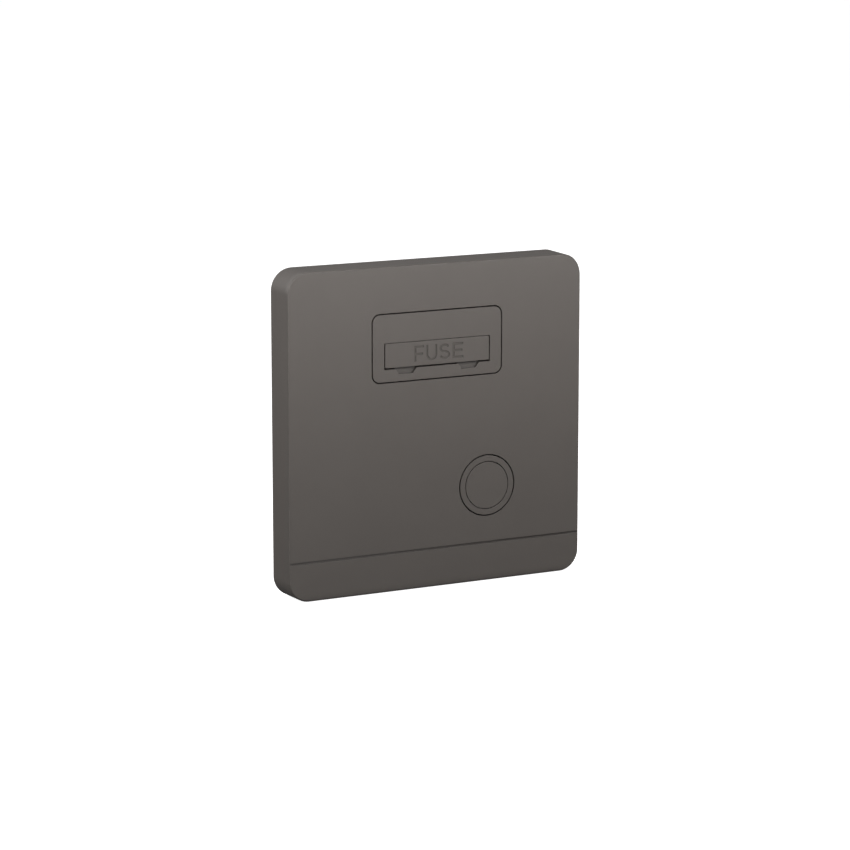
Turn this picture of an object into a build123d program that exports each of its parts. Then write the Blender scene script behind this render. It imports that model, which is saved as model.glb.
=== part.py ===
from build123d import *
from math import pi, tan
import os

os.makedirs("parts", exist_ok=True)

# Sizes are in millimetres. X is to the right, Y into the wall and Z up, and the wall is the plane Y = 0.

# Cover plate
PLATE = 86.0  # side of the square at the wall
PLATE_DEPTH = 9.6  # from the wall to the front face
PLATE_CORNER = 5.75
PLATE_DRAFT = 1.07  # degrees, the side walls lean in towards the front
PLATE_EDGE = 0.4  # bevel of the front edge
FACE_WALL = 2.0
SIDE_WALL = 1.8
SEAM_GAP = 0.35  # round everything that stands in a window of the cover
GROOVE_Z = -32.5
GROOVE_WIDTH = 0.6
GROOVE_DEPTH = 0.3
PRY_WIDTH = 8.0  # notch in the lower edge for a screwdriver
PRY_DEPTH = 1.2
RIB = 1.0  # stiffening ribs behind the face
RIB_HEIGHT = 1.5
RIB_X = 27.0
RIB_Z = 2.0

# Clip arms of the cover
ARM_Z = 22.0
ARM_INSET = 3.0  # from the frame's rim to the middle of the arm
ARM_WIDTH = 8.0
ARM_TONGUE = 5.4  # width of the part that enters the frame
ARM_THICK = 1.4
ARM_GAP = 0.3

# Mounting frame
FRAME_CLEARANCE = 0.5  # to the cover's side walls
RIM = 1.6
RIM_HEIGHT = 5.0
WEB = 2.4
WEB_RECESS = 0.6  # the web stands off the wall, and the rim touches it
FIXING_CENTRES = 60.3
FIXING_SLOT = 7.0  # overall length along X
FIXING_WIDTH = 4.0
PAD_WALL = 1.5  # round a fixing slot, at the back
HEAD_SINK = 0.8  # recess for the head of a fixing screw
HEAD_ROOM = 4.2  # added to the slot's length and width for the recess
FRAME_RIB = 1.2
FRAME_RIB_HEIGHT = 1.5

# Cartridge fuse
FUSE_LENGTH = 25.4
FUSE_DIAMETER = 6.35
BARREL_DIAMETER = 5.8
CAP_LENGTH = 5.8
CAP_END = 0.3

# Fuse housing
INSERT_WIDTH = 37.55
INSERT_HEIGHT = 17.55
INSERT_CORNER = 2.0
INSERT_Z = 21.6
INSERT_WALL = 1.5
FLANGE = 1.6
FLANGE_LEDGE = 2.0
SKIRT_WALL = 1.2
SKIRT_GAP = 0.2  # between the skirt and the frame's window
NOTCH_X = 9.2
NOTCH_TOP = 6.1
NOTCH_FOOT = 4.1
NOTCH_HEIGHT = 1.35
NOTCH_DEEP = 0.95
NOTCH_SHALLOW = 0.85
NOTCH_SILL_GAP = 0.15  # the floor of a scoop carries on to the carrier's edge

# Fuse carrier
FUSE_BELOW = 1.97  # the fuse lies this much below the middle of the insert
CARRIER_PLATE = 2.0
CARRIER_CORNER = 0.25
CARRIER_CHEEK = 1.35
CARRIER_EAR = 1.0  # the face plate passes the cheeks and seats on the housing
CARRIER_SIDE_GAP = 0.3
CARRIER_TOP_GAP = 0.14
CARRIER_BOTTOM_GAP = 0.44
CHEEK_HEIGHT = 5.4
CHEEK_GAP = 0.3  # between a cheek and the housing
FUSE_END_GAP = 0.15
FUSE_FACE_GAP = 0.12
LIP = 0.9  # hooks behind the ends of the fuse
LIP_REACH = 0.75
LIP_GAP = 0.2
LIP_HEIGHT = 3.6

# Fuse clips and the strips below the terminals
STRIP = 0.6
CLIP_WIDTH = 4.0
LEAF_GAP = 0.15
LEAF_FLARE = 0.6
LEAF_FLARE_RUN = 1.2
LEAF_PAST_AXIS = 0.7
CLIP_NECK = 1.7  # half the width of the clip's base, below the fuse
CAVITY_GAP = 0.2
CLIP_BACK_GAP = 0.8
CLIP_POST = 2.5
FOOT_INSET = 3.0
FOOT_END = 0.5
STRIP_GAP = 0.2
LINK_WIDTH = 5.0

# Terminals
BLOCK_WIDTH = 7.6
BLOCK_LENGTH = 8.5
BLOCK_DEPTH = 9.3
BLOCK_CHAMFER = 0.4
BLOCK_GAP = 0.4
WIRE_RADIUS = 2.1
WIRE_WALL = 0.9
COLUMN_SHIFT = 1.5  # X of the neutral column
FEED_MOUTH_Z = 30.0
LOAD_MOUTH_Z = -1.5

# Rear housing
TRAY_WALL = 1.6
TRAY_CORNER = 1.5
FLOOR = 2.0
END_LIP = 2.0
BARRIER = 1.6
BARRIER_RISE = 1.0  # past the backs of the terminals
POST_THICK = 0.8  # corner posts and catches that hold a terminal
POST_REACH = 0.9
POST_GAP = 0.15
CATCH_LENGTH = 3.0

# Flex outlet
OUTLET_X = 14.75
OUTLET_Z = -17.1
BUSH_DIAMETER = 15.9
BUSH_NECK = 14.4  # behind the shoulder that seats on the frame
BUSH_BORE = 12.0
BUSH_BACK = 3.0  # past the wall plane
BUSH_GAP = 0.1
PLUG_DIAMETER = 12.5
PLUG_GAP = 0.2
PLUG_CAP = 1.6
PLUG_SKIRT = 1.1
PLUG_LENGTH = 5.6

# Cord clamp
CLAMP_X = -8.0
CLAMP_SPAN = 17.0
CLAMP_WIDTH = 6.4
CLAMP_BAR = 2.2
CLAMP_CORNER = 1.2
CLAMP_JAW = 1.0
CLAMP_JAW_LENGTH = 9.0
FLEX_SPACE = 7.0
PILLAR = 6.0

# Screws
SCREW_GAP = 0.05
TERMINAL_SCREW = 3.6
TERMINAL_PROUD = 1.5  # the headless clamping screws stand open
HOUSING_SCREW = 2.5
HOUSING_HEAD = 5.0
CLAMP_SCREW = 3.0
CLAMP_HEAD = 5.6
HEAD_HEIGHT = 1.8
SCREW_BITE = 4.0  # thread in the plastic
BOSS = 4.4
BOSS_GAP = 0.2

# Depths that follow from the sizes above
FRONT = -PLATE_DEPTH
FACE_BACK = FRONT + FACE_WALL
WEB_BACK = -WEB_RECESS
WEB_FRONT = WEB_BACK - WEB
PLATE_BACK = FRONT + CARRIER_PLATE
FUSE_Y = PLATE_BACK + FUSE_FACE_GAP + FUSE_DIAMETER / 2
CARRIER_BACK = FUSE_Y + FUSE_DIAMETER / 2 + LIP_GAP + LIP
CLIP_FRONT = CARRIER_BACK + CLIP_BACK_GAP
FLOOR_FRONT = CLIP_FRONT + STRIP + CLIP_POST
FLOOR_BACK = FLOOR_FRONT + FLOOR
BLOCK_FRONT = FLOOR_BACK + STRIP
BLOCK_BACK = BLOCK_FRONT + BLOCK_DEPTH
WIRE_Y = BLOCK_FRONT + WIRE_WALL + WIRE_RADIUS
CLAMP_SEAT = WEB_BACK + FLEX_SPACE

# Fuse compartment
FUSE_Z = INSERT_Z - FUSE_BELOW
CARRIER_LOW = FUSE_Z - FUSE_DIAMETER / 2
CARRIER_HIGH = FUSE_Z + FUSE_DIAMETER / 2
OPENING_BOTTOM = CARRIER_LOW - CARRIER_BOTTOM_GAP
OPENING_TOP = CARRIER_HIGH + CARRIER_TOP_GAP
CHEEK_IN = FUSE_LENGTH / 2 + FUSE_END_GAP
CHEEK_OUT = CHEEK_IN + CARRIER_CHEEK
CARRIER_HALF = CHEEK_OUT + CARRIER_EAR
OPENING_HALF = CARRIER_HALF + CARRIER_SIDE_GAP
LEAF_IN = FUSE_DIAMETER / 2 + LEAF_GAP
LEAF_OUT = LEAF_IN + STRIP
CAVITY_HALF_X = CHEEK_OUT + CHEEK_GAP
CAVITY_HALF_Z = LEAF_OUT + LEAF_FLARE + CAVITY_GAP
SKIRT_HALF_X = CAVITY_HALF_X + SKIRT_WALL
SKIRT_HALF_Z = CAVITY_HALF_Z + SKIRT_WALL
CLIP_X = FUSE_LENGTH / 2 - CAP_LENGTH / 2

# Terminal columns, tray and frame
PITCH = BLOCK_WIDTH + 2 * BLOCK_GAP + BARRIER
CHANNEL = BLOCK_WIDTH / 2 + BLOCK_GAP
EARTH_X = COLUMN_SHIFT - 2 * PITCH
FEED_X = COLUMN_SHIFT - PITCH
NEUTRAL_X = COLUMN_SHIFT
LOAD_X = COLUMN_SHIFT + PITCH
FEED_Z = FEED_MOUTH_Z - BLOCK_LENGTH / 2
LOAD_Z = LOAD_MOUTH_Z + BLOCK_LENGTH / 2
FEED_PLACES = [(EARTH_X, FEED_Z), (FEED_X, FEED_Z), (NEUTRAL_X, FEED_Z)]
LOAD_PLACES = [(EARTH_X, LOAD_Z), (NEUTRAL_X, LOAD_Z), (LOAD_X, LOAD_Z)]
BLOCK_PLACES = FEED_PLACES + LOAD_PLACES
UPPER_BOSS_Z = FUSE_Z + SKIRT_HALF_Z + SKIRT_GAP + BOSS_GAP + BOSS / 2
BOSS_PLACES = [(LOAD_X, UPPER_BOSS_Z), (FEED_X, LOAD_Z)]
TRAY_LEFT = EARTH_X - CHANNEL - TRAY_WALL
TRAY_RIGHT = max(LOAD_X + CHANNEL, CAVITY_HALF_X) + TRAY_WALL
TRAY_TOP = max(FEED_MOUTH_Z + END_LIP, UPPER_BOSS_Z + BOSS / 2 + BOSS_GAP + TRAY_WALL)
TRAY_BOTTOM = LOAD_MOUTH_Z - END_LIP
FRAME_HALF = PLATE / 2 - SIDE_WALL - FRAME_CLEARANCE
ARM_X = FRAME_HALF - RIM - ARM_INSET
ARM_PLACES = [(-ARM_X, -ARM_Z), (-ARM_X, ARM_Z), (ARM_X, -ARM_Z), (ARM_X, ARM_Z)]
FIXING_PLACES = [(-FIXING_CENTRES / 2, 0), (FIXING_CENTRES / 2, 0)]
SINK_HALF = (FIXING_WIDTH + HEAD_ROOM) / 2
FLANGE_LOW = INSERT_Z - INSERT_HEIGHT / 2 - FLANGE_LEDGE
FRAME_RIBS_Z = [(SINK_HALF + FLANGE_LOW) / 2, (OUTLET_Z + BUSH_DIAMETER / 2 - SINK_HALF) / 2]
CLAMP_PLACES = [(CLAMP_X, OUTLET_Z - CLAMP_SPAN / 2), (CLAMP_X, OUTLET_Z + CLAMP_SPAN / 2)]


def block(x0, x1, y0, y1, z0, z1):
    """A box between two corners."""
    middle = Pos((x0 + x1) / 2, (y0 + y1) / 2, (z0 + z1) / 2)
    return middle * Box(abs(x1 - x0), abs(y1 - y0), abs(z1 - z0))


def slab(outline, back, front):
    """A plate whose outline is drawn in X and Z, from depth back forward to depth front."""
    return extrude(Plane.XZ.offset(-back) * outline, back - front)


def post(x, z, side, back, front):
    """A square bar along Y."""
    return slab(Pos(x, z) * Rectangle(side, side), back, front)


def rod(x, z, radius, back, front):
    """A round bar along Y."""
    return slab(Pos(x, z) * Circle(radius), back, front)


def stick(radius, x0, x1):
    """A round bar along the fuse's axis."""
    return extrude(Plane.YZ.offset(x0) * (Pos(FUSE_Y, FUSE_Z) * Circle(radius)), x1 - x0)


def front_cover():
    """Tapered square shell with two windows, a groove, ribs behind the face and four straight clip arms."""
    outline = RectangleRounded(PLATE, PLATE, PLATE_CORNER)
    shell = extrude(Plane.XZ * outline, PLATE_DEPTH, taper=PLATE_DRAFT)
    shell = chamfer(shell.faces().sort_by(Axis.Y)[0].edges(), PLATE_EDGE)
    inner = PLATE - 2 * SIDE_WALL
    shell -= slab(RectangleRounded(inner, inner, PLATE_CORNER - SIDE_WALL), 0, FACE_BACK)
    rib_back = FACE_BACK + RIB_HEIGHT
    shell += block(-inner / 2, inner / 2, FACE_BACK, rib_back, RIB_Z - RIB / 2, RIB_Z + RIB / 2)
    for x in (-RIB_X, RIB_X):
        shell += block(x - RIB / 2, x + RIB / 2, FACE_BACK, rib_back, -inner / 2, inner / 2)
    for x, z in ARM_PLACES:
        half = ARM_THICK / 2
        shell += block(x - half, x + half, FACE_BACK, WEB_FRONT, z - ARM_WIDTH / 2, z + ARM_WIDTH / 2)
        shell += block(x - half, x + half, WEB_FRONT, WEB_BACK, z - ARM_TONGUE / 2, z + ARM_TONGUE / 2)
    window = RectangleRounded(
        INSERT_WIDTH + 2 * SEAM_GAP, INSERT_HEIGHT + 2 * SEAM_GAP, INSERT_CORNER + SEAM_GAP
    )
    shell -= slab(Pos(0, INSERT_Z) * window, 0, FRONT)
    shell -= rod(OUTLET_X, OUTLET_Z, BUSH_DIAMETER / 2 + SEAM_GAP, 0, FRONT)
    groove_low = GROOVE_Z - GROOVE_WIDTH / 2
    shell -= block(-PLATE, PLATE, FRONT, FRONT + GROOVE_DEPTH, groove_low, groove_low + GROOVE_WIDTH)
    shell -= block(-PRY_WIDTH / 2, PRY_WIDTH / 2, -PRY_DEPTH, 0, -PLATE / 2, -PLATE / 2 + SIDE_WALL)
    return shell


def mounting_frame():
    """Square tray inside the cover, with fixing slots, windows, ribs, screw bosses and clamp pillars."""
    side = 2 * FRAME_HALF
    corner = PLATE_CORNER - SIDE_WALL - FRAME_CLEARANCE
    outline = RectangleRounded(side, side, corner)
    rim = outline - Rectangle(side - 2 * RIM, side - 2 * RIM)
    frame = slab(rim, 0, -RIM_HEIGHT) + slab(outline, WEB_BACK, WEB_FRONT)
    for z in FRAME_RIBS_Z:
        reach = FRAME_HALF - RIM
        rib_front = WEB_FRONT - FRAME_RIB_HEIGHT
        frame += block(-reach, reach, rib_front, WEB_FRONT, z - FRAME_RIB / 2, z + FRAME_RIB / 2)
    for x, z in FIXING_PLACES:
        pad = Rectangle(FIXING_SLOT + 2 * PAD_WALL, FIXING_WIDTH + 2 * PAD_WALL)
        frame += slab(Pos(x, z) * pad, 0, WEB_BACK)
    for x, z in BOSS_PLACES:
        frame += post(x, z, BOSS, FLOOR_FRONT, WEB_BACK)
        frame -= rod(x, z, HOUSING_SCREW / 2 + SCREW_GAP, FLOOR_FRONT, FLOOR_FRONT - SCREW_BITE)
    for x, z in CLAMP_PLACES:
        frame += post(x, z, PILLAR, CLAMP_SEAT, WEB_BACK)
        frame -= rod(x, z, CLAMP_SCREW / 2 + SCREW_GAP, CLAMP_SEAT, CLAMP_SEAT - SCREW_BITE)
    for x, z in FIXING_PLACES:
        frame -= slab(Pos(x, z) * SlotOverall(FIXING_SLOT, FIXING_WIDTH), 0, WEB_FRONT)
        sink = Rectangle(FIXING_SLOT + HEAD_ROOM, 2 * SINK_HALF)
        frame -= slab(Pos(x, z) * sink, WEB_FRONT + HEAD_SINK, WEB_FRONT)
    for x, z in ARM_PLACES:
        slot = Rectangle(ARM_THICK + 2 * ARM_GAP, ARM_TONGUE + 2 * ARM_GAP)
        frame -= slab(Pos(x, z) * slot, WEB_BACK, WEB_FRONT)
    window = Rectangle(2 * (SKIRT_HALF_X + SKIRT_GAP), 2 * (SKIRT_HALF_Z + SKIRT_GAP))
    frame -= slab(Pos(0, FUSE_Z) * window, WEB_BACK, WEB_FRONT)
    frame -= rod(OUTLET_X, OUTLET_Z, BUSH_NECK / 2 + BUSH_GAP, WEB_BACK, WEB_FRONT)
    return frame


def finger_scoop(x):
    """A pocket below the carrier's edge, wide and deep at the top, narrow and shallow at the foot."""
    top = OPENING_BOTTOM
    foot = top - NOTCH_HEIGHT
    floor = FRONT + NOTCH_DEEP
    wide = NOTCH_TOP / 2
    narrow = NOTCH_FOOT / 2
    corners = [(x - wide, top), (x - narrow, foot), (x + narrow, foot), (x + wide, top)]
    ramp = Polygon((floor, top), (floor, foot), (FRONT + NOTCH_SHALLOW, foot), align=None)
    pocket = slab(Polygon(*corners, align=None), floor, FRONT)
    return pocket - extrude(Plane.YZ.offset(x) * ramp, wide, both=True)


def scoop_sill(x):
    """The edge of a scoop's floor, which comes close to the carrier."""
    wide = NOTCH_TOP / 2
    sill = CARRIER_LOW - NOTCH_SILL_GAP
    return block(x - wide, x + wide, FRONT + NOTCH_DEEP, PLATE_BACK, OPENING_BOTTOM, sill)


def fuse_housing():
    """Insert in the cover's upper window: a shell round the carrier's opening, with flange and skirt."""
    place = Pos(0, INSERT_Z)
    outer = RectangleRounded(INSERT_WIDTH, INSERT_HEIGHT, INSERT_CORNER)
    core = Rectangle(INSERT_WIDTH - 2 * INSERT_WALL, INSERT_HEIGHT - 2 * INSERT_WALL)
    flange = Rectangle(INSERT_WIDTH + 2 * FLANGE_LEDGE, INSERT_HEIGHT + 2 * FLANGE_LEDGE)
    housing = slab(place * outer, WEB_FRONT, FRONT) + slab(place * flange, WEB_FRONT, WEB_FRONT - FLANGE)
    housing -= slab(place * core, WEB_FRONT, PLATE_BACK)
    skirt = Pos(0, FUSE_Z) * Rectangle(2 * SKIRT_HALF_X, 2 * SKIRT_HALF_Z)
    cavity = Pos(0, FUSE_Z) * Rectangle(2 * CAVITY_HALF_X, 2 * CAVITY_HALF_Z)
    opening_tall = OPENING_TOP - OPENING_BOTTOM
    opening_place = Pos(0, (OPENING_TOP + OPENING_BOTTOM) / 2)
    opening = opening_place * RectangleRounded(2 * OPENING_HALF, opening_tall, CARRIER_CORNER)
    housing += slab(skirt, WEB_BACK, PLATE_BACK)
    housing -= slab(cavity, WEB_BACK, PLATE_BACK)
    housing -= slab(opening, PLATE_BACK, FRONT)
    for x in (-NOTCH_X, NOTCH_X):
        housing = housing - finger_scoop(x) + scoop_sill(x)
    return housing


def fuse_carrier():
    """Face plate with two cheeks behind it, whose hooked ends hold the fuse by its caps."""
    face = RectangleRounded(2 * CARRIER_HALF, CARRIER_HIGH - CARRIER_LOW, CARRIER_CORNER)
    carrier = slab(Pos(0, FUSE_Z) * face, PLATE_BACK, FRONT)
    lip_front = CARRIER_BACK - LIP
    tall = CHEEK_HEIGHT / 2
    hook = LIP_HEIGHT / 2
    for side in (-1, 1):
        near = side * CHEEK_IN
        tip = side * (CHEEK_IN - LIP_REACH)
        carrier += block(near, side * CHEEK_OUT, PLATE_BACK, CARRIER_BACK, FUSE_Z - tall, FUSE_Z + tall)
        carrier += block(tip, near, lip_front, CARRIER_BACK, FUSE_Z - hook, FUSE_Z + hook)
    return carrier


def fuse_barrel():
    """Ceramic body of the fuse."""
    half = FUSE_LENGTH / 2 - CAP_END
    return stick(BARREL_DIAMETER / 2, -half, half)


def fuse_end_caps():
    """Two cups pressed over the ends of the barrel."""
    end = FUSE_LENGTH / 2
    left = stick(FUSE_DIAMETER / 2, -end, CAP_LENGTH - end)
    right = stick(FUSE_DIAMETER / 2, end - CAP_LENGTH, end)
    return [left - fuse_barrel(), right - fuse_barrel()]


def clip_side(side):
    """Middle line of half a fork: flared mouth, leaf along the cap, slope round the cap, then the neck."""
    leaf = LEAF_IN + STRIP / 2
    mouth = FUSE_Y - LEAF_PAST_AXIS
    slope = FUSE_Y + leaf * tan(pi / 8)
    flare = (mouth - LEAF_FLARE_RUN, FUSE_Z + side * (leaf + LEAF_FLARE))
    neck = (slope + leaf - CLIP_NECK, FUSE_Z + side * CLIP_NECK)
    base = (CLIP_FRONT + STRIP / 2, FUSE_Z + side * CLIP_NECK)
    return [flare, (mouth, FUSE_Z + side * leaf), (slope, FUSE_Z + side * leaf), neck, base]


def fuse_clip(x, column, bend_z, foot_z):
    """Bent spring clip for one fuse cap, whose strip passes the tray floor and ends below its terminal."""
    half = CLIP_WIDTH / 2
    left = min(x, column) - half
    right = max(x, column) + half
    inward = STRIP if foot_z < bend_z else -STRIP
    fork = trace(Polyline(*clip_side(-1), *reversed(clip_side(1))), STRIP)
    clip = extrude(Plane.YZ.offset(x) * fork, half, both=True)
    clip += block(left, right, CLIP_FRONT, CLIP_FRONT + STRIP, FUSE_Z, bend_z)
    clip += block(column - half, column + half, CLIP_FRONT, BLOCK_FRONT, bend_z, bend_z + inward)
    clip += block(column - half, column + half, FLOOR_BACK, BLOCK_FRONT, bend_z, foot_z)
    return clip


FEED_BEND_Z = FEED_MOUTH_Z - BLOCK_LENGTH + FOOT_INSET
LOAD_BEND_Z = LOAD_MOUTH_Z + BLOCK_LENGTH - FOOT_INSET


def strip_slot(column, bend_z, inward):
    """Slot in the tray floor for the strip of a fuse clip."""
    half = CLIP_WIDTH / 2 + STRIP_GAP
    low = min(bend_z, bend_z + inward) - STRIP_GAP
    high = max(bend_z, bend_z + inward) + STRIP_GAP
    return block(column - half, column + half, FLOOR_FRONT, FLOOR_BACK, low, high)


def terminal_nest(x, z):
    """Corner posts and catches on the barriers round one terminal."""
    end = BLOCK_LENGTH / 2 + POST_GAP
    nest = []
    for side in (-1, 1):
        outer = x + side * CHANNEL
        inner = x + side * (CHANNEL - POST_REACH)
        for way in (-1, 1):
            near = z + way * end
            nest.append(block(inner, outer, FLOOR_BACK, BLOCK_BACK, near, near + way * POST_THICK))
        catch = BLOCK_BACK + POST_GAP
        half = CATCH_LENGTH / 2
        nest.append(block(inner, outer, catch, catch + POST_THICK, z - half, z + half))
    return nest


def rear_housing():
    """Tray behind the frame: closed over the fuse clips, with open channels at the back for terminals."""
    wide = TRAY_RIGHT - TRAY_LEFT
    tall = TRAY_TOP - TRAY_BOTTOM
    middle = Pos((TRAY_LEFT + TRAY_RIGHT) / 2, (TRAY_TOP + TRAY_BOTTOM) / 2)
    tray = slab(middle * RectangleRounded(wide, tall, TRAY_CORNER), FLOOR_BACK, WEB_BACK)
    tray -= slab(middle * Rectangle(wide - 2 * TRAY_WALL, tall - 2 * TRAY_WALL), FLOOR_FRONT, WEB_BACK)
    walls = [TRAY_LEFT]
    for x in (EARTH_X, FEED_X, NEUTRAL_X, LOAD_X):
        walls += [x - CHANNEL, x + CHANNEL]
    walls += [TRAY_RIGHT]
    rise = BLOCK_BACK + BARRIER_RISE
    low = TRAY_BOTTOM + END_LIP / 2
    high = TRAY_TOP - END_LIP / 2
    for left, right in zip(walls[::2], walls[1::2]):
        tray += block(left, right, FLOOR_BACK, rise, low, high)
    for x, z in BLOCK_PLACES:
        tray += terminal_nest(x, z)
    for x in (-CLIP_X, CLIP_X):
        half = CLIP_WIDTH / 2
        seat = CLIP_FRONT + STRIP
        wide = CLIP_NECK + STRIP / 2
        tray += block(x - half, x + half, seat, FLOOR_FRONT, FUSE_Z - wide, FUSE_Z + wide)
    tray -= strip_slot(FEED_X, FEED_BEND_Z, -STRIP)
    tray -= strip_slot(LOAD_X, LOAD_BEND_Z, STRIP)
    for x, z in BOSS_PLACES:
        tray -= rod(x, z, HOUSING_SCREW / 2 + BOSS_GAP, FLOOR_BACK, FLOOR_FRONT)
    return tray


def terminal(x, z):
    """Brass block with a bore for the wire and a threaded hole for the clamping screw."""
    half = BLOCK_WIDTH / 2
    end = BLOCK_LENGTH / 2
    body = block(x - half, x + half, BLOCK_FRONT, BLOCK_BACK, z - end, z + end)
    body = chamfer(body.edges().filter_by(Axis.Z), BLOCK_CHAMFER)
    bore = Pos(x, WIRE_Y, z) * Cylinder(WIRE_RADIUS, BLOCK_LENGTH)
    return body - bore - rod(x, z, TERMINAL_SCREW / 2 + SCREW_GAP, BLOCK_BACK, WIRE_Y)


def screw(x, z, diameter, head, seat, tip):
    """Screw whose head seats at depth seat and whose shank runs forward to depth tip."""
    return rod(x, z, head / 2, seat + HEAD_HEIGHT, seat) + rod(x, z, diameter / 2, seat, tip)


def terminal_screws():
    """One headless clamping screw in each terminal, backed out so that the bores are open."""
    tip = WIRE_Y + WIRE_RADIUS + SCREW_GAP
    top = BLOCK_BACK + TERMINAL_PROUD
    return [rod(x, z, TERMINAL_SCREW / 2, top, tip) for x, z in BLOCK_PLACES]


def housing_screws():
    """Two screws from the back of the tray into the bosses of the frame."""
    tip = FLOOR_FRONT - SCREW_BITE + SCREW_GAP
    return [screw(x, z, HOUSING_SCREW, HOUSING_HEAD, FLOOR_BACK, tip) for x, z in BOSS_PLACES]


def link(x):
    """Flat strip on the tray floor that joins the terminals of one column."""
    half = LINK_WIDTH / 2
    low = LOAD_MOUTH_Z + FOOT_END
    high = FEED_MOUTH_Z - FOOT_END
    return block(x - half, x + half, FLOOR_BACK, BLOCK_FRONT, low, high)


def outlet_bush():
    """Stepped tube of the flex outlet, with a shoulder on the frame and a ledge for the plug."""
    tube = rod(OUTLET_X, OUTLET_Z, BUSH_DIAMETER / 2, WEB_FRONT, FRONT)
    tube += rod(OUTLET_X, OUTLET_Z, BUSH_NECK / 2, BUSH_BACK, WEB_FRONT)
    tube -= rod(OUTLET_X, OUTLET_Z, BUSH_BORE / 2, BUSH_BACK, FRONT)
    return tube - rod(OUTLET_X, OUTLET_Z, PLUG_DIAMETER / 2 + PLUG_GAP, FRONT + PLUG_CAP, FRONT)


def outlet_plug():
    """Cap that closes the flex outlet, with a thin skirt in the bore."""
    skirt = BUSH_BORE / 2 - PLUG_GAP
    plug = rod(OUTLET_X, OUTLET_Z, skirt, FRONT + PLUG_LENGTH, FRONT)
    plug -= rod(OUTLET_X, OUTLET_Z, skirt - PLUG_SKIRT, FRONT + PLUG_LENGTH, FRONT + PLUG_CAP)
    return plug + rod(OUTLET_X, OUTLET_Z, PLUG_DIAMETER / 2, FRONT + PLUG_CAP, FRONT)


def cord_clamp():
    """Bar over two pillars, with a jaw that presses on the flex."""
    half = CLAMP_WIDTH / 2
    left = CLAMP_X - half
    right = CLAMP_X + half
    end = CLAMP_SPAN / 2 + half
    bar = block(left, right, CLAMP_SEAT, CLAMP_SEAT + CLAMP_BAR, OUTLET_Z - end, OUTLET_Z + end)
    bar = chamfer(bar.edges().filter_by(Axis.Y), CLAMP_CORNER)
    jaw = CLAMP_JAW_LENGTH / 2
    bar += block(left, right, CLAMP_SEAT - CLAMP_JAW, CLAMP_SEAT, OUTLET_Z - jaw, OUTLET_Z + jaw)
    for x, z in CLAMP_PLACES:
        bar -= rod(x, z, CLAMP_SCREW / 2 + BOSS_GAP, CLAMP_SEAT + CLAMP_BAR, CLAMP_SEAT)
    return bar


def cord_clamp_screws():
    """Two screws of the clamp's bar."""
    tip = CLAMP_SEAT - SCREW_BITE + SCREW_GAP
    seat = CLAMP_SEAT + CLAMP_BAR
    return [screw(x, z, CLAMP_SCREW, CLAMP_HEAD, seat, tip) for x, z in CLAMP_PLACES]


def save(name, shape):
    """Write one node, which is a single solid or a group of separate ones."""
    whole = Compound(children=shape) if isinstance(shape, list) else shape
    export_step(whole, "parts/" + name + ".step")


save("front_cover", front_cover())
save("mounting_frame", mounting_frame())
save("fuse_housing", fuse_housing())
save("fuse_carrier", fuse_carrier())
save("fuse_barrel", fuse_barrel())
save("fuse_end_caps", fuse_end_caps())
save("feed_fuse_clip", fuse_clip(-CLIP_X, FEED_X, FEED_BEND_Z, FEED_MOUTH_Z - FOOT_END))
save("load_fuse_clip", fuse_clip(CLIP_X, LOAD_X, LOAD_BEND_Z, LOAD_MOUTH_Z + FOOT_END))
save("rear_housing", rear_housing())
save("housing_screws", housing_screws())
save("earth_feed_terminal", terminal(EARTH_X, FEED_Z))
save("live_feed_terminal", terminal(FEED_X, FEED_Z))
save("neutral_feed_terminal", terminal(NEUTRAL_X, FEED_Z))
save("earth_load_terminal", terminal(EARTH_X, LOAD_Z))
save("neutral_load_terminal", terminal(NEUTRAL_X, LOAD_Z))
save("live_load_terminal", terminal(LOAD_X, LOAD_Z))
save("terminal_screws", terminal_screws())
save("neutral_link", link(NEUTRAL_X))
save("earth_link", link(EARTH_X))
save("outlet_bush", outlet_bush())
save("outlet_plug", outlet_plug())
save("cord_clamp", cord_clamp())
save("cord_clamp_screws", cord_clamp_screws())
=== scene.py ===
import math

import bmesh
import bpy
import numpy as np
from mathutils import Matrix, Vector


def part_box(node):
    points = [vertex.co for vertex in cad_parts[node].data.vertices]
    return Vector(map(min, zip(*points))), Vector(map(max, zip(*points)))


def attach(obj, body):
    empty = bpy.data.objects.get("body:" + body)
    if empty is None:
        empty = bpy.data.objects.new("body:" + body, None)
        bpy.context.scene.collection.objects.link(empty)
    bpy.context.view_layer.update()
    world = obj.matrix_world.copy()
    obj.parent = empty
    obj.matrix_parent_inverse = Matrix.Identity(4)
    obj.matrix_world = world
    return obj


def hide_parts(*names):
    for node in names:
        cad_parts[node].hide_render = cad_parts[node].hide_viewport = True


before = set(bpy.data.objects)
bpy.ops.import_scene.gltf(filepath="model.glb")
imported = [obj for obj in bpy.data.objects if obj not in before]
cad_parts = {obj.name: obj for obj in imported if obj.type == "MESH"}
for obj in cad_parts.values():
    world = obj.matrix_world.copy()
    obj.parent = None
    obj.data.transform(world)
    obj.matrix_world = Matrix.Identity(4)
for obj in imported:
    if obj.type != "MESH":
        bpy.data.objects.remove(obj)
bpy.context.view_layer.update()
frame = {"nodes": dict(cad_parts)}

bl_info = {
    "name": "Fused connection unit",
    "version": (1, 0, 0),
    "blender": (4, 5, 0),
    "location": "View3D > Sidebar > Spur unit",
    "description": "Dresses a wall-mounted fused connection unit and sets up its studio",
    "category": "Object",
}

MM = 0.001
JOIN = 0.002 * MM  # points that are nearer to each other than this become one
FLAT = math.radians(0.4)  # triangles that meet at less than this become one face
SHARP = math.radians(30)  # edges that bend more than this are bevelled or look sharp
CORNER = math.radians(60)  # the same on pieces whose narrow bevels are shaded round
BEVEL_STEPS = 3  # faces across a rounded edge
FACE_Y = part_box("front_cover")[0].y

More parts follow.
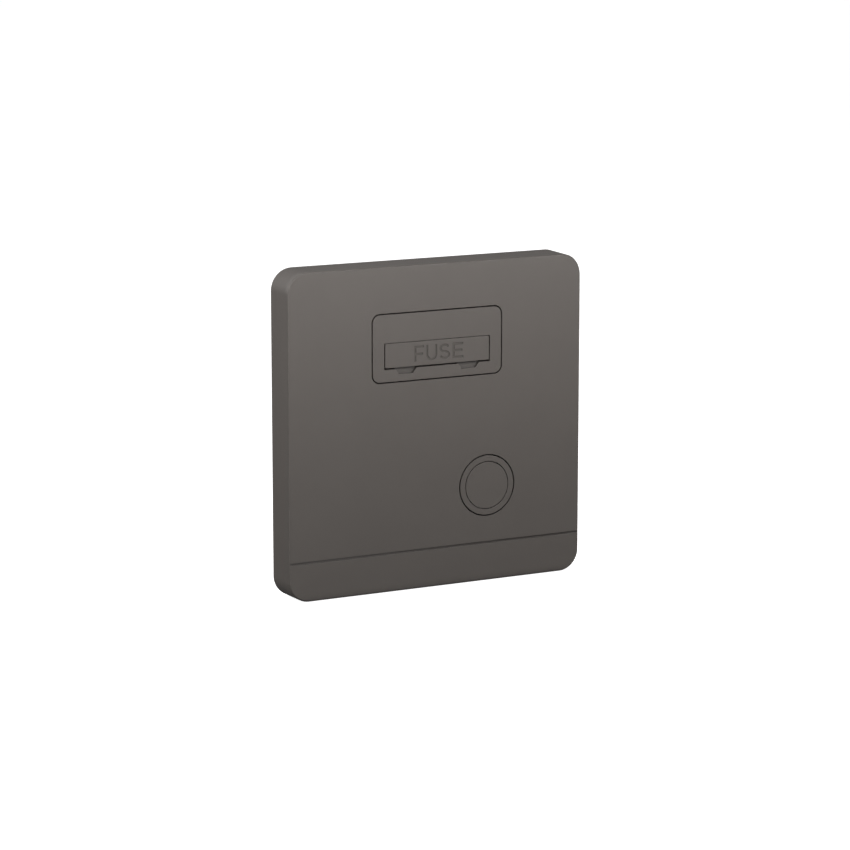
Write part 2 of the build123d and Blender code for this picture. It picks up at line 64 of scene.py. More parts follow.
TERMINALS = (
    "earth_feed_terminal",
    "live_feed_terminal",
    "neutral_feed_terminal",
    "earth_load_terminal",
    "neutral_load_terminal",
    "live_load_terminal",
)

# Letter beside a terminal, and its width as a share of its height.
MARKS = {"earth": ("E", 0.68), "live": ("L", 0.62), "neutral": ("N", 0.8)}

# Letters of the word on the fuse carrier, with their start and width in millimetres.
WORD = (("F", 0.0, 2.8), ("U", 3.45, 3.2), ("S", 7.3, 3.1), ("E", 11.2, 3.2))

# Arms of a capital: place on the stem and length, as shares of the height and the width.
ARMS = {
    "L": [(0, 1)],
    "F": [(0.47, 0.9), (1, 1)],
    "E": [(0, 1), (0.52, 0.92), (1, 0.97)],
}
ROUND_STEPS = 17  # points on a round of a capital
S_START = math.radians(20)
S_SWEEP = math.radians(250)
S_NARROW = 0.94  # width of the upper round of an S by that of the lower
N_LEAN = 1.55  # height of the slanting stroke of an N at its stems, by the stroke's width

SLOT_TURNS = (12, -48, 75, 131, -20, 58)  # degrees, no two slots were left alike
CROSS_TURNS = (17, 63)
RIM_STEPS = 10  # points on a quarter of the rim of a slotted screw
THREAD_STEPS = 8  # rings in one pitch of a thread
CROWN = 0.12  # rise of the middle of a pan head, by its radius
SHALLOW = 0.55  # share of a cross recess's depth that is lost towards the ends of its arms
POINT_LENGTH = 1.2  # length of a screw's point, by the radius of its thread
POINT_RADIUS = 0.45  # radius at the end of the point, by the same

FILL = 0.12  # strength of the even light from all round

# Lamps: name, width and height in metres, watts, place, and the spot that the lamp faces.
LIGHTS = (
    ("strip", (1.0, 0.04), 0.49, (-0.03, -0.085, 0.07), (-0.03, 0, 0)),
    ("low", (0.8, 0.16), 2.07, (-0.1, -0.9, 0.04), (0, 0, 0)),
    ("left", (0.2, 0.2), 0.24, (-0.2, 0.11, 0.14), (-0.04, 0, 0)),
    ("wall", (0.15, 0.15), 0.143, (-0.3, 0.05, 0.1), (-0.04, 0, 0.02)),
    ("back", (0.7, 0.5), 1.42, (0.0, 0.3, 0.6), (0, 0, 0)),
    ("rear", (0.6, 0.12), 6.0, (0.9, 0.5, 0.03), (0, 0, 0)),
)
FLOOR_REACH = 3.0  # metres from the middle to each side
FLOOR_ROUGHNESS = 0.7
FLOOR_GLOW = 0.9
SENSOR = 36  # width in millimetres
LENS = 134.35  # focal length in millimetres
NEAREST = 0.01  # metres from the eye, nothing shows before that
EYE = (-0.3795, -0.7274, 0.1545)  # metres
EYE_DOWN = 10.752  # degrees below level
EYE_TURN = -27.636  # degrees from straight on, to the right

# Sizes of a finish are in millimetres. patch and grain are the sizes of its two patterns, depth is
# the height of the grain, and edge is the radius to which sharp edges look rounded.
FINISHES = {
    # Polycarbonate moulded against a fine spark-eroded tool: an even, warm dark grey with a soft
    # satin sheen. The real grain is about 0.1 mm and is drawn at 0.3 mm so that it shows.
    "moulded_cover_plastic": dict(
        base="cover", tint=1.04, patch=14, grain=0.3, depth=0.004, rough=(0.46, 0.56), edge=0.1,
        # recess paints shade into the seams, scoops and groove of this plastic
        recess=0.62,
    ),
    # The same plastic in the strokes of the word, where the tool was etched: matt, with patches a
    # shade darker, and painted shade deep in the narrow strokes.
    "etched_word_plastic": dict(
        base="cover", tint=0.96, patch=1, grain=0.2, depth=0.02, rough=(0.7, 0.85), edge=0.05,
        recess=0.66,
    ),
    # Glass-filled nylon: nearly black, with pale flow marks and a rougher, slightly glittering
    # skin.
    "glass_filled_frame_plastic": dict(
        base="frame", tint=1.6, patch=6, grain=0.35, depth=0.012, rough=(0.38, 0.58), edge=0.2,
        stretch=(2.5, 1, 1),
    ),
    # Urea moulding: off-white, smooth, faintly clouded where the powder ran together.
    "urea_housing_plastic": dict(
        base="housing", tint=0.93, patch=5, grain=0.5, depth=0.005, rough=(0.3, 0.42), edge=0.18,
    ),
    # Fired steatite: matt cream with fine specks.
    "fired_ceramic": dict(
        base="ceramic", tint=0.86, patch=0.7, grain=0.25, depth=0.008, rough=(0.4, 0.6), edge=0.1,
    ),
    # Barrel-plated nickel on pressed caps: bright, with a faint mottle drawn out round the cap.
    "plated_nickel": dict(
        base="nickel", tint=0.9, patch=2, grain=0.12, depth=0.0003, rough=(0.27, 0.29), metal=1.0,
        stretch=(1, 5, 5),
    ),
    # Rolled phosphor bronze strip: reddish, with fine lines along the strip, which are shown
    # coarser than real ones.
    "rolled_bronze": dict(
        base="bronze", tint=0.86, patch=2.5, grain=0.12, depth=0.001, rough=(0.24, 0.36), metal=1.0,
        stretch=(1, 1, 9),
    ),
    # Drawn brass bar: yellow, with dull patches from handling and faint drawing lines along its
    # length, which are shown coarser than real ones.
    "drawn_brass": dict(
        base="brass", tint=0.86, patch=3, grain=0.14, depth=0.001, rough=(0.26, 0.38), metal=1.0,
        stretch=(1, 1, 8),
    ),
    # Zinc-plated steel: cool grey with a faint mottle.
    "plated_zinc": dict(
        base="zinc", tint=0.86, patch=0.9, grain=0.1, depth=0.0008, rough=(0.26, 0.4), edge=0.06,
        metal=1.0,
    ),
}
PAINTED_SHADE_REACH = 2 * MM  # walls nearer than this darken a recess with painted shade


def linear(hex_colour):
    """Linear red, green and blue of an sRGB hex value."""
    srgb = np.array([int(hex_colour[i:i + 2], 16) for i in (1, 3, 5)]) / 255
    curve = ((srgb + 0.055) / 1.055) ** 2.4
    return tuple(np.where(srgb <= 0.04045, srgb / 12.92, curve).tolist())


def length(name, description, millimetres):
    """A size that shows in the panel."""
    return bpy.props.FloatProperty(
        name=name,
        description=description,
        default=millimetres * MM,
        min=0.0,
        precision=5,
        unit="LENGTH",
    )


def colour(name, description, hex_colour):
    """A colour that shows in the panel."""
    return bpy.props.FloatVectorProperty(
        name=name,
        description=description,
        default=linear(hex_colour),
        size=3,
        min=0.0,
        max=1.0,
        subtype="COLOR",
    )


class SpurSizes(bpy.types.PropertyGroup):
    metal_edge: length("Metal edge", "Softening of edges on brass and bronze", 0.12)
    cap_edge: length("Cap edge", "Rounding at the ends of the fuse", 0.25)
    word_height: length("Word height", "Height of the capitals on the fuse carrier", 4.1)
    word_stroke: length("Word stroke", "Width of the strokes of the word", 0.58)
    word_depth: length("Word depth", "Depth of the engraved word", 0.18)
    word_shift: length("Word shift", "Distance of the word from the carrier's middle", 0.4)
    mark_height: length("Mark height", "Height of the letters beside the terminals", 3.2)
    mark_stroke: length("Mark stroke", "Width of the strokes of these letters", 0.5)
    mark_rise: length("Mark rise", "Rise of these letters above the frame", 0.25)
    mark_gap: length("Mark gap", "Space between the rear housing and these letters", 1.6)
    slot_width: length("Slot width", "Screwdriver slot of the terminal screws", 0.7)
    slot_depth: length("Slot depth", "Depth of the screwdriver slot", 0.9)
    slot_rim: length("Slot rim", "Chamfer round the top of the terminal screws", 0.2)
    pitch: length("Thread pitch", "Pitch of the screws", 0.6)
    thread: length("Thread depth", "Depth of the thread of the screws", 0.3)
    housing_head: length("Housing screw head", "Head diameter of the rear housing's screws", 5.0)
    housing_shank: length("Housing screw shank", "Diameter of their thread", 2.5)
    clamp_shank: length("Clamp screw shank", "Thread diameter of the cord clamp's screws", 3.0)
    head_height: length("Head height", "Height of the head of these screws", 1.8)
    head_edge: length("Head edge", "Rounding of the edge of the head", 0.7)
    cross_reach: length("Cross reach", "Radius of the cross recess in the head", 1.45)
    cross_width: length("Cross width", "Width of an arm of the cross recess", 0.75)
    cross_depth: length("Cross depth", "Depth of the cross recess", 1.0)


class SpurColours(bpy.types.PropertyGroup):
    cover: colour("Cover", "Warm dark grey plastic of the face", "#5b5652")
    frame: colour("Frame", "Black plastic of the mounting frame", "#232425")
    housing: colour("Housing", "Off-white plastic at the back", "#d9d6cc")
    ceramic: colour("Ceramic", "Body of the fuse", "#e4ddcb")
    nickel: colour("Nickel", "Plated caps of the fuse", "#c9c5bb")
    bronze: colour("Bronze", "Spring clips", "#c08a55")
    brass: colour("Brass", "Terminals and links", "#cfa85a")
    zinc: colour("Zinc", "Plated steel screws", "#b9bcc0")
    floor: colour("Floor", "Pale floor", "#f2f2f1")


def add(tree, kind, inputs, **settings):
    """Adds a node to a tree, with its settings, and returns it.

    Its inputs are filled with values or with other nodes' outputs.
    """
    made = tree.nodes.new(kind)
    for key, value in settings.items():
        setattr(made, key, value)
    for key, value in inputs.items():
        if isinstance(value, bpy.types.NodeSocket):
            tree.links.new(value, made.inputs[key])
        else:
            made.inputs[key].default_value = value
    return made


def surface(
    name, base, tint, patch, grain, depth, rough, edge=0.0, metal=0.0, stretch=(1, 1, 1), recess=1.0
):
    """A finish of two near colours in soft patches, with grain as bump and in the roughness.

    base names a colour of the panel, and tint is the factor that gives the second colour. edge is 0
    where the mesh itself has round edges. stretch lengthens both patterns along the axes, as
    rolling, drawing and flow do. recess is the share of the colour that is left deep in seams and
    hollows, where little light gets in: painted shade, which darkens the colour where the ambient
    occlusion node finds walls near.
    """
    plain = tuple(getattr(bpy.context.scene.spur_colours, base))
    tinted = tuple(min(1.0, part * tint) for part in plain)
    material = bpy.data.materials.new(name)
    material.use_nodes = True
    tree = material.node_tree
    tree.nodes.clear()
    place = add(tree, "ShaderNodeTexCoord", {}).outputs["Object"]
    shrink = tuple(1 / way for way in stretch)
    drawn = add(tree, "ShaderNodeMapping", {"Vector": place, "Scale": shrink}).outputs["Vector"]
    patches = add(
        tree, "ShaderNodeTexNoise",
        {"Vector": drawn, "Scale": 1 / (patch * MM), "Detail": 4.0, "Roughness": 0.6},
    ).outputs["Fac"]
    grains = add(
        tree, "ShaderNodeTexNoise",
        {"Vector": drawn, "Scale": 1 / (grain * MM), "Detail": 2.0, "Roughness": 0.5},
    ).outputs["Fac"]
    share = add(
        tree, "ShaderNodeMapRange", {"Value": patches, "From Min": 0.3, "From Max": 0.7},
        interpolation_type="SMOOTHSTEP",
    ).outputs["Result"]
    mixed = add(
        tree, "ShaderNodeMix", {0: share, 6: (*plain, 1), 7: (*tinted, 1)}, data_type="RGBA"
    ).outputs[2]
    # Painted shade: the colour is multiplied down where the ambient occlusion node finds walls
    # near, deep in seams and hollows.
    if recess < 1:
        open_sky = add(
            tree, "ShaderNodeAmbientOcclusion", {"Distance": PAINTED_SHADE_REACH}, samples=12
        ).outputs["AO"]
        left = add(
            tree, "ShaderNodeMapRange",
            {"Value": open_sky, "From Min": 0.55, "From Max": 0.95, "To Min": recess},
        ).outputs["Result"]
        mixed = add(
            tree, "ShaderNodeMix", {0: 1.0, 6: mixed, 7: left},
            data_type="RGBA", blend_type="MULTIPLY",
        ).outputs[2]
    low, high = rough
    rougher = add(
        tree, "ShaderNodeMapRange",
        {"Value": grains, "From Min": 0.25, "From Max": 0.75, "To Min": low, "To Max": high},
    ).outputs["Result"]
    relief = {"Height": grains, "Strength": 1.0, "Distance": depth * MM}
    if edge:
        rounded = add(tree, "ShaderNodeBevel", {"Radius": edge * MM}, samples=6)
        relief["Normal"] = rounded.outputs["Normal"]
    bump = add(tree, "ShaderNodeBump", relief).outputs["Normal"]
    shader = add(
        tree, "ShaderNodeBsdfPrincipled",
        {"Base Color": mixed, "Roughness": rougher, "Normal": bump, "Metallic": metal},
    )
    add(tree, "ShaderNodeOutputMaterial", {"Surface": shader.outputs["BSDF"]})
    return material


def finish_of(name):
    """The finish of that name, made when it is first asked for."""
    return bpy.data.materials.get(name) or surface(name, **FINISHES[name])


def dress(node, material):
    """Gives a CAD node its finish."""
    slots = frame["nodes"][node].data.materials
    slots.clear()
    slots.append(material)


def put(mesh, name, material, body, slot, *nodes):
    """Places a finished mesh as a piece that rides on a body and stands for CAD nodes."""
    mesh.polygons.foreach_set("use_smooth", np.ones(len(mesh.polygons), bool))
    if not mesh.materials:
        mesh.materials.append(material)
    piece = bpy.data.objects.new(name, mesh)
    bpy.context.scene.collection.objects.link(piece)
    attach(piece, body)
    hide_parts(*nodes)
    return piece


def whole_copy(node, name):
    """A CAD node's triangles joined into whole faces, without the triangles' own normals."""
    bm = bmesh.new()
    bm.from_mesh(frame["nodes"][node].data)
    bmesh.ops.remove_doubles(bm, verts=bm.verts, dist=JOIN)
    bmesh.ops.dissolve_limit(bm, angle_limit=FLAT, verts=bm.verts, edges=bm.edges)
    mesh = bpy.data.meshes.new(name)
    bm.to_mesh(mesh)
    bm.free()
    if mesh.has_custom_normals:
        mesh.attributes.remove(mesh.attributes["custom_normal"])
    mesh.materials.clear()
    return mesh


def even_shading(piece):
    """Keeps flat faces flat to the eye, so that narrow bevels look round, and splits corners."""
    piece.data.set_sharp_from_angle(angle=CORNER)
    piece.modifiers.new("even_shading", "WEIGHTED_NORMAL").keep_sharp = True


def soft_node(node, name, material, body, slot, width):
    """Puts a copy of a CAD node with rounded edges, in its own finish."""
    piece = put(whole_copy(node, name), name, material, body, slot, node)
    bevel = piece.modifiers.new("soft_edges", "BEVEL")
    bevel.limit_method = "ANGLE"
    bevel.angle_limit = SHARP
    bevel.width = width
    bevel.segments = BEVEL_STEPS
    even_shading(piece)


def solid(name, places, faces, join=False):
    """A closed mesh whose faces point outwards.

    With join, points that coincide become one first, and faces without area go.
    """
    mesh = bpy.data.meshes.new(name)
    mesh.from_pydata(places, [], faces)
    bm = bmesh.new()
    bm.from_mesh(mesh)
    if join:
        bmesh.ops.remove_doubles(bm, verts=bm.verts, dist=JOIN)
        bmesh.ops.dissolve_degenerate(bm, edges=bm.edges, dist=JOIN / 10)
    bmesh.ops.recalc_face_normals(bm, faces=bm.faces)
    bm.to_mesh(mesh)
    bm.free()
    return mesh


def skin(name, sheets):
    """A closed mesh of grids of points, with faces between neighbours along both parameters."""
    faces = []
    first = 0
    for sheet in sheets:
        rows, columns = sheet.shape[:2]
        index = first + np.arange(rows * columns).reshape(rows, columns)
        quads = np.stack([index[:-1, :-1], index[1:, :-1], index[1:, 1:], index[:-1, 1:]], -1)
        faces.append(quads.reshape(-1, 4))
        first += rows * columns
    places = np.concatenate([sheet.reshape(-1, 3) for sheet in sheets])
    return solid(name, places, np.concatenate(faces), join=True)


def turned(angle, radius, depth):
    """Points round an axis along Y from angles, radii and depths that are broadcast together."""
    angle, radius, depth = np.broadcast_arrays(angle, radius, depth)
    return np.stack([radius * np.cos(angle), depth, radius * np.sin(angle)], -1)


def threaded(angle, radius, start, end, pitch, deep):
    """Thread from depth start to depth end.

    The radius falls from crest to root and back once in each pitch. The phase of this triangle wave
    goes once round with the angle, and the thread fades in over one pitch.
    """
    run = np.arange(0, start - end, pitch / THREAD_STEPS)[:, None]
    wave = np.abs(2 * ((run / pitch + angle / (2 * np.pi)) % 1) - 1)
    return turned(angle, radius - deep * wave * np.clip(run / pitch, 0, 1), start - run)


def slotted_screw(top, tip, radius, turn, sizes):
    """Headless screw with a straight slot, round the Y axis.

    The top is a ladder of strips across the slot, whose ends lie on the rim. The side starts from
    the same rim, passes a chamfer and a plain band as deep as the slot, and goes on as a thread to
    a flat tip.
    """
    half = sizes.slot_width / 2
    inner = radius - sizes.slot_rim
    floor = top - sizes.slot_depth
    steps = np.linspace(1, 0, RIM_STEPS)

    def rim(r):
        edge = math.asin(half / r)
        away = edge + (math.pi / 2 - edge) * steps
        across = np.concatenate([-away, [-edge, edge], away[::-1]])
        return np.concatenate([across, math.pi - across[::-1], across[:1]])

    beside = np.ones(RIM_STEPS)
    outside = np.concatenate([beside, [0, 0], beside])
    level = np.concatenate([outside, outside[::-1], outside[:1]])
    band = floor - sizes.slot_rim
    outer = rim(radius)
    rings = [
        turned(rim(inner), inner, floor + level * sizes.slot_depth),
        turned(outer, radius, floor + level * (sizes.slot_depth - sizes.slot_rim)),
        turned(outer, radius, band),
    ]
    thread = threaded(outer, radius, band, tip, sizes.pitch, sizes.thread)
    end = [turned(outer, radius - sizes.thread, tip), turned(outer, 0, tip)]
    side = np.concatenate([np.stack(rings), thread, np.stack(end)])
    count = len(outside)
    ladder = np.stack([rings[0][:count], rings[0][count:2 * count][::-1]], 1)
    spin = np.array(Matrix.Rotation(turn, 3, "Y"))
    return [ladder @ spin.T, side @ spin.T]


def cross_screw(top, seat, tip, head, shank, turn, sizes):
    """Pan-head screw with a cross recess, round the Y axis.

    One grid runs from the middle of the head over its rounded edge, under the head and along the
    thread. Its lines round the axis bunch at the sides of the four arms, where half the angle of an
    arm is asin(width / 2 r). Nearer to the axis than the corners where the arms meet, the recess
    goes all round. It gets shallower towards the ends of the arms.
    """
    # Lines round one arm: 0.5 is the side of the arm and 1 the diagonal to the next.
    share = np.array([-0.85, -0.7, -0.56, -0.5, -0.25, 0, 0.25, 0.5, 0.56, 0.7, 0.85, 1.0])
    in_arm = np.abs(share) <= 0.5
    inside = np.tile(in_arm.astype(float), 4)
    diagonal = math.pi / 4
    centres = np.repeat(np.arange(4) * math.pi / 2, len(share))

    def lines(r, even):
        half = np.arcsin(np.minimum(0.98 * math.sin(diagonal), sizes.cross_width / 2 / r))
        near = half * share / 0.5
        far = np.sign(share) * (half + (diagonal - half) * (np.abs(share) - 0.5) / 0.5)
        bunched = np.where(in_arm, near, far)
        return np.tile(bunched + (diagonal * share - bunched) * even, 4) + centres

    edge = sizes.head_edge
    reach = sizes.cross_reach
    crown = CROWN * head
    meet = sizes.cross_width / 2 / math.sin(diagonal)
    # Rings of the recess: radius, how evenly its lines are spaced, and where it is dug.
    hub = [(0.05 * meet, 1, 1), (0.6 * meet, 0.5, 1), (0.99 * meet, 0, 1)]
    arms = [(r, 0, inside) for r in np.linspace(1.03 * meet, 0.99 * reach, 4)]
    rings = [turned(centres, 0, top - sizes.cross_depth)]
    for r, even, dug in hub + arms:
        deep = sizes.cross_depth * (1 - SHALLOW * (r / reach) ** 2)
        rings.append(turned(lines(r, even), r, top - crown * (r / head) ** 2 - deep * dug))
    for r in np.linspace(1.02 * reach, head - edge, 5):
        rings.append(turned(lines(r, (r - reach) / head), r, top - crown * (r / head) ** 2))
    shoulder = top - crown * (1 - edge / head) ** 2
    for bend in np.linspace(0.15, 1, 6) * math.pi / 2:
        r = head - edge + edge * math.sin(bend)
        rings.append(turned(lines(r, 1), r, shoulder - edge * (1 - math.cos(bend))))
    rings.append(turned(lines(head, 1), head, seat))
    evenly = lines(shank, 1)
    point = tip + POINT_LENGTH * shank
    thread = threaded(evenly, shank, seat, point, sizes.pitch, sizes.thread)
    end = [turned(evenly, POINT_RADIUS * shank, tip), turned(evenly, 0, tip)]
    grid = np.concatenate([np.stack(rings), thread, np.stack(end)])
    grid = np.concatenate([grid, grid[:, :1]], 1)
    return [grid @ np.array(Matrix.Rotation(turn, 3, "Y")).T]


def ribbon(path, width):
    """Outline of a stroke: a line of points that is set off to both sides along its normals."""
    along = np.gradient(path, axis=0)
    across = np.stack([-along[:, 1], along[:, 0]], 1)
    across *= width / 2 / np.linalg.norm(across, axis=1, keepdims=True)
    return np.concatenate([path - across, (path + across)[::-1]])


def circle(angle):
    """Points of the unit circle from a column of angles."""
    return np.hstack([np.cos(angle), np.sin(angle)])


def capital(sign, height, width, stroke):
    """Outline of a plain capital that stands on the origin.

    E, F and L are a stem with arms and N is a zigzag. U is a ribbon along a half round between two
    stems, and S is one along two opposite rounds.
    """
    inner = width - stroke
    tall = height - stroke
    turn = np.linspace(0, 1, ROUND_STEPS)[:, None]
    if sign == "U":
        bow = circle(math.pi * (1 + turn)) * inner / 2 + (width / 2, width / 2)
        start, end = [(stroke / 2, height)], [(width - stroke / 2, height)]
        return ribbon(np.concatenate([start, bow, end]), stroke)
    if sign == "S":
        bowl = np.array((inner / 2, tall / 4))
        upper = circle(S_START + S_SWEEP * turn[:-1]) * bowl * (S_NARROW, 1)
        lower = circle(math.radians(90) - S_SWEEP * turn) * bowl
        high = upper + (width / 2, 0.75 * tall + stroke / 2)
        low = lower + (width / 2, 0.25 * tall + stroke / 2)
        return ribbon(np.concatenate([high, low]), stroke)
    if sign == "N":
        shoulder = height - N_LEAN * stroke
        left = [(0, 0), (stroke, 0), (stroke, shoulder), (inner, 0), (width, 0)]
        return np.array(left + [(width - x, height - z) for x, z in left])
    outline = [(0, 0), (stroke, 0)]
    for level, reach in ARMS[sign]:
        low, far = level * tall, reach * width
        outline += [(stroke, low), (far, low), (far, low + stroke), (stroke, low + stroke)]
    outline += [(stroke, height), (0, height)]
    outline = np.round(outline, 9).tolist()
    before = outline[-1:] + outline[:-1]
    return np.array([spot for spot, last in zip(outline, before) if spot != last])


def prisms(name, outlines, near, far):
    """Prisms over outlines that are drawn in X and Z, between two depths."""
    places, faces = [], []
    for outline in outlines:
        first = sum(map(len, places))
        count = len(outline)
        front = first + np.arange(count)
        follow = first + np.roll(np.arange(count), -1)
        for depth in (near, far):
            places.append(np.insert(outline, 1, depth, axis=1))
        faces += [front.tolist(), (front[::-1] + count).tolist()]
        faces += np.stack([follow, front, front + count, follow + count], 1).tolist()
    return solid(name, np.concatenate(places), faces)


class SPUR_OT_cover(bpy.types.Operator):
    """Clip-on cover plate, whose bevelled outer edge is shaded round"""

    bl_idname = "spur.cover"
    bl_label = "Cover"

    def execute(self, context):
        plastic = finish_of("moulded_cover_plastic")
        mesh = whole_copy("front_cover", "moulded_cover")
        even_shading(put(mesh, "moulded_cover", plastic, "cover", "cover_plastic", "front_cover"))
        return {"FINISHED"}


class SPUR_OT_mouldings(bpy.types.Operator):
    """Finishes of the fuse housing, the outlet, the frame, the rear housing and the cord clamp"""

    bl_idname = "spur.mouldings"
    bl_label = "Mouldings"

    def execute(self, context):
        for node in ("fuse_housing", "outlet_bush", "outlet_plug"):
            dress(node, finish_of("moulded_cover_plastic"))
        dress("mounting_frame", finish_of("glass_filled_frame_plastic"))
        for node in ("rear_housing", "cord_clamp"):
            dress(node, finish_of("urea_housing_plastic"))
        return {"FINISHED"}


class SPUR_OT_carrier(bpy.types.Operator):
    """Fuse carrier with its engraved word"""

    bl_idname = "spur.carrier"
    bl_label = "Fuse carrier"

    def execute(self, context):
        sizes = context.scene.spur_sizes
        low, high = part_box("fuse_carrier")
        tall = sizes.word_height
        middle = (WORD[-1][1] + WORD[-1][2]) / 2 * MM - sizes.word_shift
        corner = np.array(((low.x + high.x) / 2 - middle, (low.z + high.z - tall) / 2))
        outlines = [
            capital(sign, tall, width * MM, sizes.word_stroke) + corner + (start * MM, 0)
            for sign, start, width in WORD
        ]
        near, far = FACE_Y - sizes.word_depth, FACE_Y + sizes.word_depth
        letters = prisms("letters", outlines, near, far)
        letters.materials.append(finish_of("etched_word_plastic"))
        cutter = bpy.data.objects.new("letters", letters)
        plain = bpy.data.objects.new("plain", whole_copy("fuse_carrier", "plain"))
        plain.data.materials.append(finish_of("moulded_cover_plastic"))
        for part in (cutter, plain):
            context.scene.collection.objects.link(part)
        cut = plain.modifiers.new("cut", "BOOLEAN")
        cut.object = cutter
        cut.operation = "DIFFERENCE"
        cut.solver = "EXACT"
        cut.material_mode = "TRANSFER"
        context.view_layer.update()
        graph = context.evaluated_depsgraph_get()
        mesh = bpy.data.meshes.new_from_object(plain.evaluated_get(graph))
        bpy.data.objects.remove(plain)
        bpy.data.objects.remove(cutter)
        put(mesh, "lettered_carrier", None, "carrier", "cover_plastic", "fuse_carrier")
        mesh.set_sharp_from_angle(angle=SHARP)
        return {"FINISHED"}


class SPUR_OT_fuse(bpy.types.Operator):
    """Ceramic body and plated caps of the fuse"""

    bl_idname = "spur.fuse"
    bl_label = "Fuse"

    def execute(self, context):
        width = context.scene.spur_sizes.cap_edge
        dress("fuse_barrel", finish_of("fired_ceramic"))
        nickel = finish_of("plated_nickel")
        soft_node("fuse_end_caps", "plated_end_caps", nickel, "carrier", "plated_caps", width)
        return {"FINISHED"}


class SPUR_OT_contacts(bpy.types.Operator):
    """Fuse clips, terminals and links"""

    bl_idname = "spur.contacts"
    bl_label = "Contacts"

    def execute(self, context):
        width = context.scene.spur_sizes.metal_edge
        bronze = finish_of("rolled_bronze")
        brass = finish_of("drawn_brass")
        for node in ("feed_fuse_clip", "load_fuse_clip"):
            soft_node(node, "bronze_" + node, bronze, "base", "spring_bronze", width)
        for node in TERMINALS + ("neutral_link", "earth_link"):
            soft_node(node, "brass_" + node, brass, "base", "brass", width)
        return {"FINISHED"}


class SPUR_OT_screws(bpy.types.Operator):
    """Slotted terminal screws, and cross-head screws of the rear housing and of the cord clamp"""

    bl_idname = "spur.screws"
    bl_label = "Screws"

    def execute(self, context):
        sizes = context.scene.spur_sizes
        low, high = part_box("terminal_screws")
        spots = [(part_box(node)[0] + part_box(node)[1]) / 2 for node in TERMINALS]
        radius = high.x - max(spot.x for spot in spots)
        sheets = []
        for spot, turn in zip(spots, SLOT_TURNS):
            screw = slotted_screw(high.y, low.y, radius, math.radians(turn), sizes)
            sheets += [sheet + (spot.x, 0, spot.z) for sheet in screw]
        self.plate("slotted_terminal_screws", sheets, "terminal_screws")

        low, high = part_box("housing_screws")
        head = sizes.housing_head / 2
        spots = [(low.x + head, low.z + head), (high.x - head, high.z - head)]
        shank = sizes.housing_shank / 2
        self.cross_pair("housing_screws", spots, low.y, high.y, head, shank, sizes)

        low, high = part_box("cord_clamp_screws")
        head = (high.x - low.x) / 2
        spots = [(low.x + head, low.z + head), (low.x + head, high.z - head)]
        shank = sizes.clamp_shank / 2
        self.cross_pair("cord_clamp_screws", spots, low.y, high.y, head, shank, sizes)
        return {"FINISHED"}

    def cross_pair(self, node, spots, tip, top, head, shank, sizes):
        """Puts the two cross-head screws of a node at spots given in X and Z."""
        seat = top - sizes.head_height
        sheets = []
        for (x, z), turn in zip(spots, CROSS_TURNS):
            screw = cross_screw(top, seat, tip, head, shank, math.radians(turn), sizes)
            sheets += [sheet + (x, 0, z) for sheet in screw]
        self.plate("cross_" + node, sheets, node)

    def plate(self, name, sheets, node):
        """Puts the screws of a node as one plated piece."""
        mesh = skin(name, sheets)
        put(mesh, name, finish_of("plated_zinc"), "base", "plated_steel", node)
        mesh.set_sharp_from_angle(angle=SHARP)


class SPUR_OT_marks(bpy.types.Operator):
    """Raised letters on the frame that name the terminals"""

    bl_idname = "spur.marks"
    bl_label = "Terminal letters"

    def execute(self, context):
        sizes = context.scene.spur_sizes
        tray_low, tray_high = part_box("rear_housing")
        tall = sizes.mark_height
        above = tray_high.z + sizes.mark_gap
        below = tray_low.z - sizes.mark_gap - tall
        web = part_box("fuse_housing")[1].y
        outlines = []
        for node in TERMINALS:
            low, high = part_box(node)
            sign, share = MARKS[node.split("_")[0]]
            width = share * tall
            foot = above if "feed" in node else below
            outline = capital(sign, tall, width, sizes.mark_stroke) - (width / 2, 0)
            outlines.append(outline * (-1, 1) + ((low.x + high.x) / 2, foot))
        near, far = web - sizes.mark_rise, web + sizes.mark_rise
        mesh = prisms("terminal_letters", outlines, near, far)
        black = finish_of("glass_filled_frame_plastic")
        put(mesh, "terminal_letters", black, "base", "frame_plastic")
        mesh.set_sharp_from_angle(angle=SHARP)
        return {"FINISHED"}


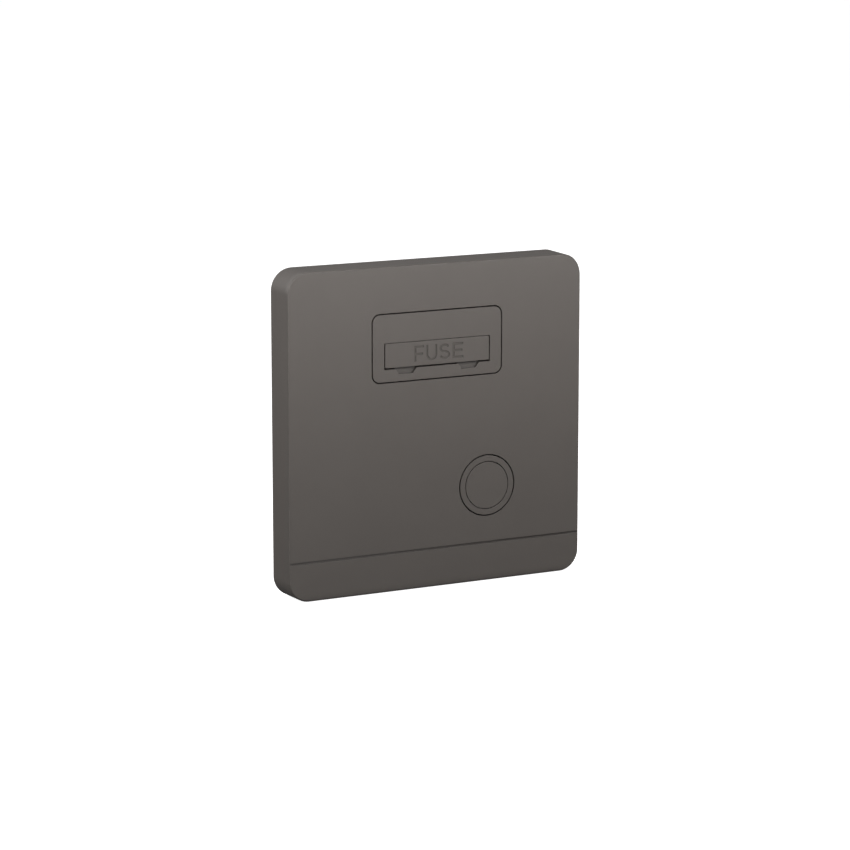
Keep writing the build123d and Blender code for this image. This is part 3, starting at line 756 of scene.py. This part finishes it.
class SPUR_OT_stage(bpy.types.Operator):
    """Pale floor, soft lights and the camera"""

    bl_idname = "spur.stage"
    bl_label = "Stage"

    def execute(self, context):
        scene = context.scene
        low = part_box("front_cover")[0].z
        square = [(-1, -1), (1, -1), (1, 1), (-1, 1)]
        mesh = bpy.data.meshes.new("floor")
        corners = [(x * FLOOR_REACH, y * FLOOR_REACH, low) for x, y in square]
        mesh.from_pydata(corners, [], [(0, 1, 2, 3)])
        floor = bpy.data.objects.new("floor", mesh)
        scene.collection.objects.link(floor)
        material = bpy.data.materials.new("pale_floor")
        material.use_nodes = True
        shader = material.node_tree.nodes["Principled BSDF"]
        shader.inputs["Base Color"].default_value = (*scene.spur_colours.floor, 1)
        shader.inputs["Roughness"].default_value = FLOOR_ROUGHNESS
        shader.inputs["Emission Color"].default_value = (1, 1, 1, 1)
        shader.inputs["Emission Strength"].default_value = FLOOR_GLOW
        mesh.materials.append(material)
        # The camera sees the glowing floor, and the part gets no light from it.
        floor.visible_diffuse = False
        floor.visible_glossy = False

        # The camera sees a white room, and the part gets the weaker fill from it.
        world = bpy.data.worlds.new("studio")
        world.use_nodes = True
        scene.world = world
        tree = world.node_tree
        tree.nodes.clear()
        seen = add(tree, "ShaderNodeLightPath", {}).outputs["Is Camera Ray"]
        fill, white = (
            add(
                tree, "ShaderNodeBackground", {"Color": (1, 1, 1, 1), "Strength": strength}
            ).outputs["Background"]
            for strength in (FILL, 1.0)
        )
        mix = add(tree, "ShaderNodeMixShader", {0: seen, 1: fill, 2: white}).outputs["Shader"]
        add(tree, "ShaderNodeOutputWorld", {"Surface": mix})

        for name, size, watts, spot, target in LIGHTS:
            light = bpy.data.lights.new(name, "AREA")
            light.shape = "RECTANGLE"
            light.size, light.size_y = size
            light.energy = watts
            lamp = bpy.data.objects.new(name, light)
            lamp.location = spot
            aim = Vector(target) - Vector(spot)
            lamp.rotation_euler = aim.to_track_quat("-Z", "Y").to_euler()
            lamp.visible_camera = False
            scene.collection.objects.link(lamp)

        camera = bpy.data.cameras.new("camera")
        camera.sensor_width = SENSOR
        camera.lens = LENS
        camera.clip_start = NEAREST
        eye = bpy.data.objects.new("camera", camera)
        eye.location = EYE
        eye.rotation_euler = (math.radians(90 - EYE_DOWN), 0, math.radians(EYE_TURN))
        scene.collection.objects.link(eye)
        scene.camera = eye
        scene.view_settings.view_transform = "Standard"
        return {"FINISHED"}


class SPUR_PT_panel(bpy.types.Panel):
    """Sizes, colours and steps of the fused connection unit"""

    bl_idname = "SPUR_PT_panel"
    bl_label = "Spur unit"
    bl_space_type = "VIEW_3D"
    bl_region_type = "UI"
    bl_category = "Spur unit"

    def draw(self, context):
        for group in (context.scene.spur_sizes, context.scene.spur_colours):
            box = self.layout.box()
            for name in group.__annotations__:
                box.prop(group, name)
        for step in STEPS:
            self.layout.operator(step.bl_idname)


STEPS = (
    SPUR_OT_cover,
    SPUR_OT_mouldings,
    SPUR_OT_carrier,
    SPUR_OT_fuse,
    SPUR_OT_contacts,
    SPUR_OT_screws,
    SPUR_OT_marks,
    SPUR_OT_stage,
)
CLASSES = (SpurSizes, SpurColours, *STEPS, SPUR_PT_panel)


def register():
    for cls in CLASSES:
        bpy.utils.register_class(cls)
    bpy.types.Scene.spur_sizes = bpy.props.PointerProperty(type=SpurSizes)
    bpy.types.Scene.spur_colours = bpy.props.PointerProperty(type=SpurColours)


def unregister():
    del bpy.types.Scene.spur_colours
    del bpy.types.Scene.spur_sizes
    for cls in reversed(CLASSES):
        bpy.utils.unregister_class(cls)


def main():
    register()
    for step in STEPS:
        getattr(bpy.ops.spur, step.bl_idname.split(".")[1])()


if __name__ == "__main__":
    main()
